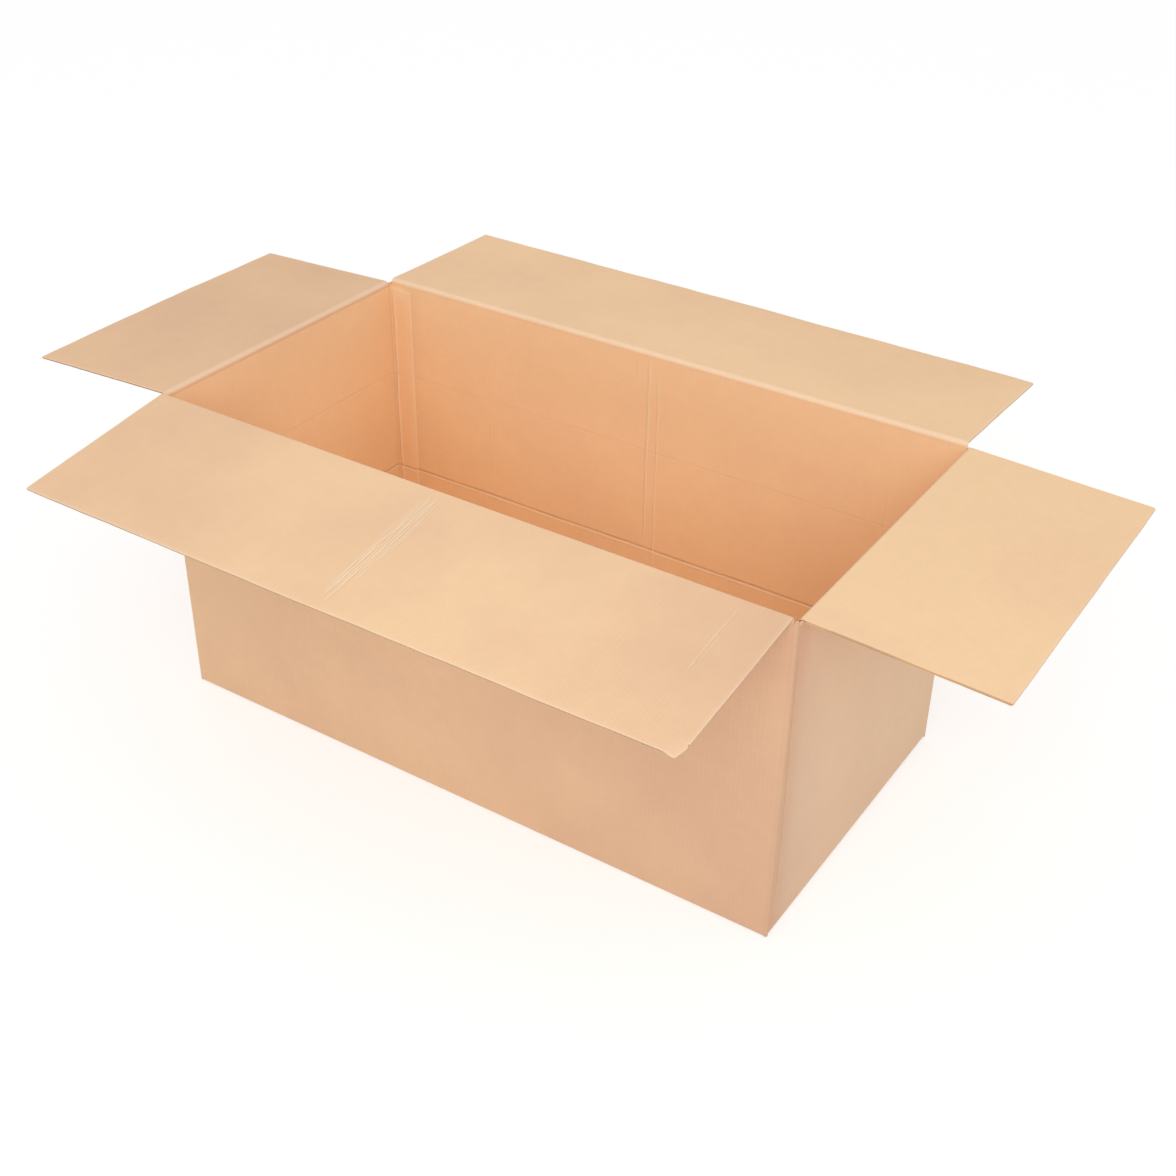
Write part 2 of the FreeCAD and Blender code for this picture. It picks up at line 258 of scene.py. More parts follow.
class Run:
    """One straight run or corner bend of the blank, with its place in the standing carton."""

    def __init__(self, name, first, length, start=None, way=None, centre=None, angle=None):
        self.name = name
        self.first = first
        self.last = first + length
        self.start = start
        self.way = way
        self.centre = centre
        self.angle = angle

    def flap_span(self):
        """The flaps' side edges on a wall: the slots start at the corner posts."""
        slot = POST_EDGE - BEND_OUT
        last_slot = slot + BEND_OUT - SEAM_RECESS if self.name == "back" else slot
        return self.first + slot, self.last - last_slot

    def outer_point(self, across):
        """Outer face and inward direction at blank places, as four arrays."""
        gone = across - self.first
        if self.centre is None:
            x = self.start[0] + self.way[0] * gone
            y = self.start[1] + self.way[1] * gone
            return x, y, np.full_like(gone, -self.way[1]), np.full_like(gone, self.way[0])
        turn = math.radians(self.angle) + gone / BEND_MIDDLE
        out_x, out_y = np.cos(turn), np.sin(turn)
        return (self.centre[0] + BEND_OUT * out_x, self.centre[1] + BEND_OUT * out_y,
                -out_x, -out_y)


def lay_out_blank():
    """The runs of the blank from the tab's cut edge to the back wall's cut edge."""
    bend_x = OUT_X - BEND_OUT
    bend_y = OUT_Y - BEND_OUT
    tab_y = OUT_Y - BOARD
    tab_bend_y = tab_y - BEND_OUT
    tab_start = -(OUT_X - BOARD) + TAB_EDGE
    plan = [("tab", (tab_start, tab_y), (-1, 0), tab_start + bend_x),
            ("tab_bend", (-bend_x, tab_bend_y), 90),
            ("left", (-OUT_X, tab_bend_y), (0, -1), tab_bend_y + bend_y),
            ("left_bend", (-bend_x, -bend_y), 180),
            ("front", (-bend_x, -OUT_Y), (1, 0), bend_x * 2),
            ("front_bend", (bend_x, -bend_y), 270),
            ("right", (OUT_X, -bend_y), (0, 1), bend_y * 2),
            ("right_bend", (bend_x, bend_y), 0),
            ("back", (bend_x, OUT_Y), (-1, 0), bend_x + OUT_X - SEAM_RECESS)]
    runs = []
    place = 0.0
    for item in plan:
        if len(item) == 4:
            name, start, way, length = item
            runs.append(Run(name, place, length, start=start, way=way))
        else:
            name, centre, angle = item
            length = BEND_LENGTH
            runs.append(Run(name, place, length, centre=centre, angle=angle))
        place += length
    return {run.name: run for run in runs}


BLANK = lay_out_blank()
LONG_WALLS = ("front", "back")
WALLS = ("left", "front", "right", "back")


def blank_at(wall, x=None, y=None):
    """Where a place on a wall lies across the blank."""
    run = BLANK[wall]
    if wall == "front":
        return run.first + x - run.start[0]
    if wall in ("back", "tab"):
        return run.first + run.start[0] - x
    if wall == "right":
        return run.first + y - run.start[1]
    return run.first + run.start[1] - y


# Creases pressed into the inner face, each as (wall, x, reach up the blank, depth, half width, seed).
# A depth below zero is a ridge that stands out of it.
UPRIGHT_CREASES = [
    ("back", -6.5, (205, 589), 0.9, 3.0, 0.4),
    ("back", 14, (150, 560), 0.7, 2.6, 1.7),
    ("back", -28, (520, 589), 0.5, 2.0, 2.6),
    ("back", -363, (205, 361), 0.4, 2.0, 0.9),
    ("back", 475, (397, 472), 0.4, 2.0, 3.1),
    ("tab", -591, (15, 586), -0.9, 3.0, 1.1),
    ("front", -7, (20, 580), 0.8, 2.8, 1.3),
    ("front", 13, (20, 590), 0.8, 2.8, 2.2),
]

# The bundle of fine creases across the front flap, each as (x, start and end past the fold, depth)
FLAP_BUNDLE = [(-17, 14, 150, 0.35), (-11.5, 8, 262, 0.6), (-7, 22, 284, 0.8), (-2, 5, 270, 0.5),
               (2.5, 12, 292, 0.8), (7, 34, 215, 0.6), (12.5, 26, 236, 0.5), (17, 60, 190, 0.35)]
for number, (x, start, end, depth) in enumerate(FLAP_BUNDLE):
    reach = (LONG_FOLD_Z + start, LONG_FOLD_Z + end)
    UPRIGHT_CREASES.append(("front", x, reach, depth, 2.2, 0.7 * number))
UPRIGHT_CREASES += [
    ("front", 525, (LONG_FOLD_Z + 20, LONG_FOLD_Z + 168), 0.35, 2.2, 2.9),
    ("front", 529, (LONG_FOLD_Z + 60, LONG_FOLD_Z + 150), 0.2, 2.0, 0.2),
    ("back", -7, (LONG_FOLD_Z + 6, LONG_FOLD_Z + 300), 0.14, 2.4, 1.5),
    ("back", 12, (LONG_FOLD_Z + 6, LONG_FOLD_Z + 300), 0.12, 2.4, 2.5),
]

# Level creases, each as (height, depth, half width, part of the depth that each wall takes)
LEVEL_CREASES = [
    (LOW_CREASE, 1.5, 3.4, {"tab": 0.9, "back": 1.0, "left": 0.9, "front": 1.0, "right": 0.9}),
    (LOW_LEDGE, -0.9, 3.4, {"tab": 0.9, "back": 1.0, "left": 0.7, "front": 1.0, "right": 0.7}),
    (HIGH_CREASE, 0.5, 2.4, {"tab": 0.5, "back": 0.6, "left": 0.9, "front": 0.6, "right": 0.8}),
]

# Where each wall and its flap need a finer grid, each as (x, half width, step)
WALL_FINE = {"back": [(x, 7, 1.0) for x in (-6.5, 14, -28, -363, 475)] + [(3, 24, 1.3)],
             "front": [(0, 24, 0.95), (527, 8, 1.0)]}


def crease_relief(across, along):
    """The relief of the inner face at places on the blank, and the light and shade painted there.

    Relief is above zero on a ridge. Painted light is above zero as a painted highlight and below
    zero as a painted shade, because a crease under light has a lit side and a shaded one.
    """
    groove = np.zeros_like(across)
    ridge = np.zeros_like(across)
    rub_and_painted_light = np.zeros_like(across)
    for wall, x, (low, high), deep, half, seed in UPRIGHT_CREASES:
        line = blank_at(wall, x=x) + CREASE_WANDER * wander(along, seed)
        fade = soft_step((along - low) / CREASE_FADE) * soft_step((high - along) / CREASE_FADE)
        rough = 0.75 + 0.25 * np.sin(along / 11 + 5 * seed)
        mark = deep * fade * rough * bump_of(across - line, half)
        groove, ridge = np.maximum(groove, mark), np.maximum(ridge, -mark)
        # Painted highlight on the crease's one side and painted shade on its other
        sides = (bump_of(across - line + half * 0.6, half * 0.9)
                 - 0.4 * bump_of(across - line - half * 0.6, half * 0.9))
        rub_and_painted_light = rub_and_painted_light + CREASE_LIGHT_AND_SHADE * abs(deep) * fade * rough * sides
    for level, deep, half, strength in LEVEL_CREASES:
        for wall, part in strength.items():
            run = BLANK[wall]
            line = level + 0.8 * wander(across, 4.1)
            fade = soft_step((across - run.first + 4) / 6) * soft_step((run.last + 4 - across) / 6)
            rough = 0.85 + 0.15 * np.sin(across / 23 + level)
            mark = deep * part * fade * rough * bump_of(along - line, half)
            groove, ridge = np.maximum(groove, mark), np.maximum(ridge, -mark)
            # Painted shade in a level crease's groove and painted highlight on its ledge
            rub_and_painted_light = rub_and_painted_light - 0.65 * mark
    return ridge - groove, np.clip(rub_and_painted_light, -1, 1)


def outer_crease(across, along):
    """The faint wavy upright crease on the outside of the right wall, near its front corner."""
    run = BLANK["right"]
    line = run.first + OUTER_CREASE_PLACE + 2.5 * np.sin(along / 120 + 0.6) + 1.2 * wander(along, 1.9)
    fade = soft_step((along - 60) / 60) * soft_step((560 - along) / 60)
    return OUTER_CREASE_DEPTH * fade * bump_of(across - line, 2.6)


# The walls and the bottom

def wall_columns():
    """Grid lines across the blank."""
    columns = []
    for run in BLANK.values():
        if run.centre is not None:
            columns += list(np.linspace(run.first, run.last, 7))
            continue
        fine = []
        for x, half, step in WALL_FINE.get(run.name, []):
            fine.append((blank_at(run.name, x=x), half, step))
        if run.name == "tab":
            fine = [(blank_at("tab", x=-591), 6, 0.9), (run.first + 8, 8, 1.3)]
        if run.name == "right":
            fine = [(run.first + OUTER_CREASE_PLACE + 0.5, 6.5, 1.1)]
        middle = grid_lines(run.first + 3, run.last - 6, 24, fine)
        flap_first, flap_last = run.flap_span()
        slots = [flap_first, flap_first + FLAP_RELIEF, flap_last - FLAP_RELIEF, flap_last]
        columns += [run.first] + slots + middle + [run.last]
    kept = []
    for place in sorted(columns):
        if not kept or place - kept[-1] > 0.2:
            kept.append(place)
    return kept


def wall_rows():
    """Grid lines along the blank, from the bottom flaps' free edges to the wall tops."""
    long_end = BEND_OUT - BEND_LENGTH - (OUT_Y - BEND_OUT - SEAM_GAP / 2)
    short_end = BEND_OUT + BOARD - BEND_LENGTH - (FLAP_LENGTH - BEND_OUT)
    rows = [long_end, short_end] + list(np.linspace(-285, -5, 12))
    rows += list(np.linspace(BEND_OUT - BEND_LENGTH, BEND_OUT, 6))
    rows += [POST_FOOT] + list(np.linspace(BEND_OUT + 0.7, BEND_OUT + BOARD, 4))
    rows += [TAB_LOW]
    low_middle = (LOW_CREASE + LOW_LEDGE) / 2
    rows += grid_lines(16, 580, 24, [(low_middle, 8, 0.9), (HIGH_CREASE, 5, 0.9)])
    rows += [SHORT_FOLD_Z - STRIP, TAB_HIGH, LONG_FOLD_Z - STRIP, POST_TOP]
    kept = []
    for place in sorted(rows):
        if not kept or place - kept[-1] > 0.12:
            kept.append(place)
    return kept, long_end, short_end


def bend_start(name):
    """The height where a wall's bottom bend begins: the short flaps lie on the long ones."""
    return BEND_OUT if name in ("front", "back", "tab") else BEND_OUT + BOARD


def slots_of(across, along, long_end, short_end):
    """True where the blank is cut away: slots, the flaps' ends and the space beside the tab."""
    gone = np.zeros(across.shape, dtype=bool)
    for run in BLANK.values():
        here = (across > run.first) & (across < run.last)
        if run.name == "tab":
            gone |= here & ((along < TAB_LOW) | (along > TAB_HIGH))
        elif run.centre is not None:
            gone |= here & (along < POST_FOOT)
        else:
            is_long = run.name in LONG_WALLS
            free_end = long_end if is_long else short_end
            top = (LONG_FOLD_Z if is_long else SHORT_FOLD_Z) - STRIP
            flap_first, flap_last = run.flap_span()
            in_flap = (across > flap_first) & (across < flap_last)
            cleared = (across < flap_first + FLAP_RELIEF) | (across > flap_last - FLAP_RELIEF)
            post = (across < flap_first) | (across > flap_last)
            gone |= here & (~in_flap | cleared) & ~post & (along < bend_start(run.name))
            gone |= here & post & (along < POST_FOOT)
            gone |= here & (along < free_end)
            gone |= here & in_flap & (along > top)
    return gone


# How far each long wall stands out at its middle, and the tab that is glued to one
BELLY = {"front": 2.2, "back": 1.6, "tab": 1.6}


def bow_of(x, z):
    """What part of the belly shows at a place: all at the middle and none along the edges."""
    side = np.clip(np.cos(x * math.pi / (2 * OUT_X)), 0, 1) ** 2
    rise = np.clip(np.sin((z - 20) / (LONG_FOLD_Z - 40) * math.pi), 0, 1) ** 2
    return side * rise


def fold_walls(points):
    """Fold the flat, thick blank into the standing walls and bottom, in metres."""
    across, along, deep = points[:, 0], points[:, 1], points[:, 2]
    standing = np.empty_like(points)
    for run in BLANK.values():
        here = (across >= run.first - TOUCH) & (across <= run.last + TOUCH)
        u, v, w = across[here], along[here], deep[here]
        x, y, in_x, in_y = run.outer_point(u)
        inset, z = w.copy(), v.copy()
        if run.name in WALLS:
            bend = bend_start(run.name)
            turn = np.clip((bend - v) / BEND_MIDDLE, 0, math.pi / 2)
            past = np.clip(bend - BEND_LENGTH - v, 0, None)
            low = v < bend
            inset = np.where(low, BEND_OUT - (BEND_OUT - w) * np.cos(turn) + past, inset)
            z = np.where(low, bend - (BEND_OUT - w) * np.sin(turn), z)
        x = x + in_x * inset
        y = y + in_y * inset
        if run.name in BELLY:
            belly = BELLY[run.name] * bow_of(x, z)
            y = y - in_y * belly * (v > bend_start(run.name))
        standing[here, 0], standing[here, 1], standing[here, 2] = x, y, z
    return standing * MM


def taper_tab(across, along):
    """Slant the tab's ends: each drops by the taper over its width."""
    run = BLANK["tab"]
    part = np.clip((run.last - across) / (run.last - run.first), 0, 1)
    near_low = np.clip(1 - (along - TAB_LOW) / TAPER_REACH, 0, 1) * (along >= TAB_LOW - TOUCH)
    near_high = np.clip(1 - (TAB_HIGH - along) / TAPER_REACH, 0, 1) * (along <= TAB_HIGH + TOUCH)
    return along + TAB_TAPER * part * near_low - TAB_TAPER * part * near_high


def outside_tone_and_shade(across):
    """How far each wall's outside is darker and pinker: pinker paper all round, plus painted shade
    near the front right corner.
    """
    front, right = BLANK["front"], BLANK["right"]
    along_front = 0.5 + 0.5 * soft_step((across - front.last + 600) / 600)
    along_right = 0.5 + 0.5 * (1 - soft_step((across - front.last) / 260))
    along_back = 0.35 + 0.15 * (1 - soft_step((across - right.last) / 200))
    return np.select([across < front.first, across <= front.last, across <= right.last],
                     [np.full_like(across, 0.35), along_front, along_right], along_back)


def outside_dust_and_painted_shade(across, along):
    """The right wall's dusty outside, and painted shade in a line down the front corner's bend and in
    the wavy crease.
    """
    right = BLANK["right"]
    past_front, past_back = across - right.first, across - right.last
    dusty = 0.38 * soft_step(past_front / 60) * (1 - soft_step(past_back / 150))
    # Painted shade down the near right corner's bend
    corner_bend_shade = 0.25 * bump_of(past_front + BEND_LENGTH / 2, 5)
    return dusty - corner_bend_shade - outer_crease(across, along)


def inside_painted_light(across, along):
    """Painted light inside: a painted highlight on the tab's cut edge, painted shadow beside it, and
    painted shade in its bend and low in the back wall's right end.
    """
    tab, back = BLANK["tab"], BLANK["back"]
    upright = along > TAB_LOW
    tab_edge_highlight = 0.5 * bump_of(across - tab.first, 2.5) * upright
    tab_contact_shadow = 0.2 * bump_of(across - blank_at("back", x=tab.start[0] + 2.5), 2.5) * upright
    tab_bend_shade = 0.7 * bump_of(across - tab.last - BEND_LENGTH / 2, 3.5) * upright
    near_corner = soft_step((back.first + 380 - across) / 340) * (across > back.first - 3)
    far_corner_shade = 0.35 * near_corner * soft_step((330 - along) / 260)
    return tab_edge_highlight - tab_contact_shadow - tab_bend_shade - far_corner_shade


def tab_pinch(across, along):
    """How thin the cutter and the gluing pressed the tab towards its cut edges."""
    tab = BLANK["tab"]
    edge = np.minimum.reduce([across - tab.first, along - TAB_LOW, TAB_HIGH - along])
    return np.where(across < tab.last, 1 - 0.62 * np.exp(-np.clip(edge, 0, None) / 5), 1.0)


def build_walls():
    rows, long_end, short_end = wall_rows()
    sheet = cut_sheet("carton_walls", wall_columns(), rows)
    drop_faces(sheet, lambda x, y: slots_of(x, y, long_end, short_end))
    chart_blank(sheet, 0, 0)
    give_thickness(sheet, BOARD, 1)
    points = read_points(sheet)
    across, along, deep = points.T
    inner = deep / BOARD
    relief, rub_and_painted_light = crease_relief(across, along)
    scratched = outer_crease(across, along)
    deep = deep + relief * inner + scratched * (1 - inner)
    deep = deep * tab_pinch(across, along)
    # Painted light and shade inside: creases, the tab's edge and bend, the back wall's low right end
    inside_rub_and_painted_light = rub_and_painted_light + inside_painted_light(across, along)
    paint(sheet, "wear_light_and_shade", inside_rub_and_painted_light * inner + outside_dust_and_painted_shade(across, along) * (1 - inner))
    # The outside faces' pinker paper and their painted shade
    paint(sheet, "tone_and_shade", outside_tone_and_shade(across) * (1 - inner))
    along = np.where(across < BLANK["tab"].last, taper_tab(across, along), along)
    write_points(sheet, fold_walls(np.column_stack([across, along, deep])))
    smooth_piece(sheet, 35)
    return sheet


# The top flaps

class TopFlap:
    """One top flap with the strip of wall above its butt line, in its own flat measure.

    across runs the way the blank does, along runs from the fold line to the free edge, and deep
    from the outer face to the inner one.
    """

    def __init__(self, wall, droop, low, high):
        self.wall = wall
        self.joint = wall + "_fold"
        self.body = wall + "_flap"
        self.node = "flap_" + wall
        self.turn = math.radians(90 + droop)
        self.low = low
        self.high = high
        run = BLANK[wall]
        self.way = run.way
        self.outward = (run.way[1], -run.way[0])
        self.pivot = joint_at[self.joint]
        # Where across 0 lies on the blank
        self.shift = blank_at(wall, x=0, y=0)

    def stand(self, across, along, deep, lift):
        """Fold the flat flap down over its fold line and stand it in the carton's frame."""
        part = soft_step((along + FOLD_HALF) / (FOLD_HALF * 2))
        near = np.clip(1 - (along / FOLD_HALF) ** 2, 0, 1)
        thick = deep * (1 - (1 - FOLD_CRUSH) * near ** 2)
        out, rise = -(HINGE_GAP + thick), along
        angle = part * self.turn
        outward = out * np.cos(angle) + rise * np.sin(angle)
        upward = -out * np.sin(angle) + rise * np.cos(angle)
        flap_part = soft_step((along - 4) / 30)
        outward = outward + lift * flap_part * -math.cos(self.turn)
        upward = upward + lift * flap_part * math.sin(self.turn)
        x = self.pivot[0] + self.way[0] * across + self.outward[0] * outward
        y = self.pivot[1] + self.way[1] * across + self.outward[1] * outward
        z = self.pivot[2] + upward
        return np.column_stack([x, y, z]) * MM

    def zone_point(self, reach):
        """A point reach out and reach up from the fold line, in metres."""
        half = reach / 2
        return ((self.pivot[0] + self.outward[0] * half) * MM,
                (self.pivot[1] + self.outward[1] * half) * MM, (self.pivot[2] + half) * MM)


# Half a flap's width, and every flap with the droop that the photograph shows
LONG_HALF = OUT_X - BEND_OUT - (POST_EDGE - BEND_OUT) - FLAP_RELIEF
SHORT_HALF = OUT_Y - BEND_OUT - (POST_EDGE - BEND_OUT) - FLAP_RELIEF
FLAPS = [TopFlap("front", 8.0, -LONG_HALF, LONG_HALF),
         TopFlap("back", 2.1, -LONG_HALF, LONG_HALF),
         TopFlap("left", 2.5, -SHORT_HALF + BOARD, SHORT_HALF),
         TopFlap("right", 2.6, -SHORT_HALF, SHORT_HALF)]


def flap_columns(flap):
    """Places across the flap, closer at its creases, its cut edges and the crushed corner."""
    fine = []
    for x, half, step in WALL_FINE.get(flap.wall, []):
        fine.append((blank_at(flap.wall, x=x) - flap.shift, half, step))
    if flap.wall == "front":
        fine.append((flap.high - 22, 15, 2.5))
    edges = [0, 0.5, 1.5, 3.0, 5.0]
    middle = grid_lines(flap.low + 8, flap.high - 8, 24, fine)
    columns = [flap.low + edge for edge in edges] + [flap.high - edge for edge in edges]
    return sorted(columns + middle)


def flap_rows(flap):
    """Places from the strip of wall above the butt line to the free edge, and the flutes' own."""
    fold = [-STRIP, -6, -5, -4] + list(np.linspace(-FOLD_HALF, FOLD_HALF, 13)) + [4, 5.5, 7.5, 10]
    middle = list(np.linspace(18, FLAP_LENGTH - 40, 16))
    cut = [12, 8, 5, 3, 1.5, 0.6, 0.15, 0]
    if flap.wall == "front":
        cut = [31, 29, 27.5, 26.5, 25.5, 21, 18] + cut
    cut = [FLAP_LENGTH - short for short in cut]
    return fold + middle + cut, [7] + middle[::2] + cut[:-2] + [FLAP_LENGTH - 0.5]


def flute_columns(flap):
    """Places across the fluting paper, which stops just short of the liners' edges."""
    to_a_flute, short = 8, 0.3
    count = int(round((flap.high - flap.low) / FLUTE_PITCH * to_a_flute))
    return list(np.linspace(flap.low + short, flap.high - short, count + 1))


def trim_outline(flap, across, along):
    """Round the free corners, and crush the front flap's right one."""
    radius, width = 3.0, 26.0
    over = np.clip(along - (FLAP_LENGTH - radius), 0, radius)
    rounded = radius - np.sqrt(np.clip(radius ** 2 - over ** 2, 0, None))
    crushed = np.zeros_like(along)
    if flap.wall == "front":
        crushed = 6.5 * soft_step((along - (FLAP_LENGTH - 27)) / 27) ** 1.2
        crushed = crushed + 2.4 * bump_of(along - (FLAP_LENGTH - 26), 2.5)
    wavy = 0.35 * wander(along * 1.7, flap.low) * (along > 10)
    near_high = np.clip(1 - (flap.high - across) / width, 0, 1)
    near_low = np.clip(1 - (across - flap.low) / width, 0, 1)
    worn = rounded + 0.3
    across = across - near_high * (worn + crushed + wavy) + near_low * (worn - wavy)
    near_end = np.clip(1 - (FLAP_LENGTH - along) / width, 0, 1)
    along = along - near_end * (0.4 + 0.4 * wander(across * 1.3, flap.high))
    return across, along


def warp_of(flap, across, along):
    """How far the flap lies off its plane: a slow warp, a twist, and waves in its free edge."""
    side = across / flap.high
    reach = np.clip(along / FLAP_LENGTH, 0, 1.02)
    twist = {"front": 1.0, "back": 4.2, "left": -1.5, "right": 1.5}[flap.wall]
    bow = {"front": -2.0, "back": 1.5, "left": 1.8, "right": -1.5}[flap.wall]
    lift = twist * side * reach ** 1.5 + bow * (1 - side ** 2) * reach ** 2
    lift = lift + 0.8 * wander(across * 0.55, flap.turn * 40) * reach ** 2
    if flap.wall == "front":
        corner = np.hypot((flap.high - across) / 30, (FLAP_LENGTH - along) / 38)
        lift = lift - 3.5 * soft_step(1 - corner)
    return lift


def pinch_of(flap, across, along):
    """How thin the cutter pressed the edges, and the crushed corner with them."""
    side = np.minimum(flap.high - across, across - flap.low)
    free = FLAP_LENGTH - along
    side_pinch = {"front": 0.5, "back": 0.4, "left": 0.4, "right": 0.12}[flap.wall]
    free_pinch = 0.52 + 0.12 * wander(across * 0.4, flap.turn * 9)
    if flap.wall == "front":
        free_pinch = free_pinch - 0.25 * soft_step((across - flap.high + 120) / 80)
    pinch = 1 - np.maximum(side_pinch * np.exp(-np.clip(side, 0, None) / 3),
                           free_pinch * np.exp(-np.clip(free, 0, None) / 3))
    if flap.wall == "front":
        corner = np.hypot((flap.high - across) / 22, (FLAP_LENGTH - along) / 32)
        pinch = pinch - 0.45 * soft_step(1 - corner)
    return pinch


def flap_tone_and_shade(flap, across):
    """How far each flap is painted darker and pinker: painted shade, most on the left flap and
    towards the front flap's ends, a little on the back flap.
    """
    if flap.wall == "front":
        return (0.25 + 0.25 * (1 - soft_step((across - flap.low) / 420))
                + 0.4 * soft_step((across - flap.high + 300) / 300))
    return np.full_like(across, {"back": 0.15, "left": 0.6, "right": 0.0}[flap.wall])


def edge_rub_and_painted_light(flap, across, along):
    """How the cut edges are worn pale with a painted highlight, and a painted shadow in short lengths
    under the right flap's near edge.
    """
    edge = np.minimum.reduce([flap.high - across, across - flap.low, FLAP_LENGTH - along])
    rubbed_and_lit = np.exp(-edge / 1.6)
    if flap.wall != "right":
        return 0.7 * rubbed_and_lit
    # Painted shadow under the right flap's near edge
    broken_edge_shadow = soft_step((along - 25) / 30) * (0.75 + 0.6 * wander(along, 0.7))
    return 0.25 * rubbed_and_lit - 1.5 * np.exp(-(across - flap.low) / 0.8) * broken_edge_shadow


def lay_up_board(flap):
    """The flat flap: two liners with the fluting paper waving between them."""
    name = flap.wall + "_flap_board"
    columns = flap_columns(flap)
    rows, flute_rows = flap_rows(flap)
    outer = cut_sheet(name, columns, rows)
    give_thickness(outer, LINER, 1)
    inner = cut_sheet(name + "_inner", columns, rows, BOARD - LINER)
    give_thickness(inner, LINER, 1)
    fluting = cut_sheet(name + "_fluting", flute_columns(flap), flute_rows, BOARD / 2)
    points = read_points(fluting)
    swing = (BOARD - LINER * 2 - FLUTING_THICKNESS) / 2
    points[:, 2] += swing * np.sin((points[:, 0] + flap.shift) * 2 * math.pi / FLUTE_PITCH)
    write_points(fluting, points)
    give_thickness(fluting, FLUTING_THICKNESS, 0)
    for part, paper in ((outer, LINER_PAPER), (inner, LINER_PAPER), (fluting, FLUTING_PAPER)):
        part.data.materials.append(paper)
        chart_blank(part, flap.shift, flap.pivot[2])
    return join_pieces(name, [outer, inner, fluting])


def build_flap(flap):
    board = lay_up_board(flap)
    points = read_points(board)
    across, along, deep = points.T
    face = deep / BOARD
    relief, rub_and_painted_light = crease_relief(across + flap.shift, along + flap.pivot[2])
    # The fold band painted paler: partly the liner's stretch, partly a painted highlight
    fold = 0.6 * bump_of(along + 0.5, 4.5) * face
    # Cut edges worn pale with their painted highlight, and the right flap's painted edge shadow
    edges = edge_rub_and_painted_light(flap, across, along)
    paint(board, "wear_light_and_shade", rub_and_painted_light * face + np.where(fold > np.abs(edges), fold, edges))
    # Painted shade on each flap, as darker and pinker paper
    paint(board, "tone_and_shade", flap_tone_and_shade(flap, across))
    deep = deep + relief * face
    deep = BOARD / 2 + (deep - BOARD / 2) * pinch_of(flap, across, along)
    lift = warp_of(flap, across, along)
    across, along = trim_outline(flap, across, along)
    write_points(board, flap.stand(across, along, deep, lift))
    smooth_piece(board, 40)
    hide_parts(flap.node)
    start, end = flap.zone_point(-TURN_ZONE), flap.zone_point(TURN_ZONE)
    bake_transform(board)
    return board


# Paper finishes

def linear(hex_colour):
    """An sRGB hex colour as the linear values that a shader takes."""
    values = []
    for start in (0, 2, 4):
        part = int(hex_colour[start:start + 2], 16) / 255
        values.append(part / 12.92 if part <= 0.04045 else ((part + 0.055) / 1.055) ** 2.4)
    return (*values, 1.0)


def add_node(tree, kind, settings=(), links=()):
    """Add one node, set its named values and input sockets, and link its inputs."""
    made = tree.nodes.new(kind)
    for name, value in dict(settings).items():
        if isinstance(name, int) or name in made.inputs:
            made.inputs[name].default_value = value
        else:
            setattr(made, name, value)
    for name, source in dict(links).items():
        tree.links.new(source, made.inputs[name])
    return made


def new_finish(name):
    finish = bpy.data.materials.new(name)
    finish.use_nodes = True
    finish.node_tree.nodes.clear()
    return finish, finish.node_tree


# The paper's patterns in millimetres: patches of tone, fibres and mottling
TONE_PATCH = 260
FIBRE_LENGTH = 14
FIBRE_WIDTH = 2.2
MOTTLE_SIZE = 30
FIBRE_CONTRAST = 0.022


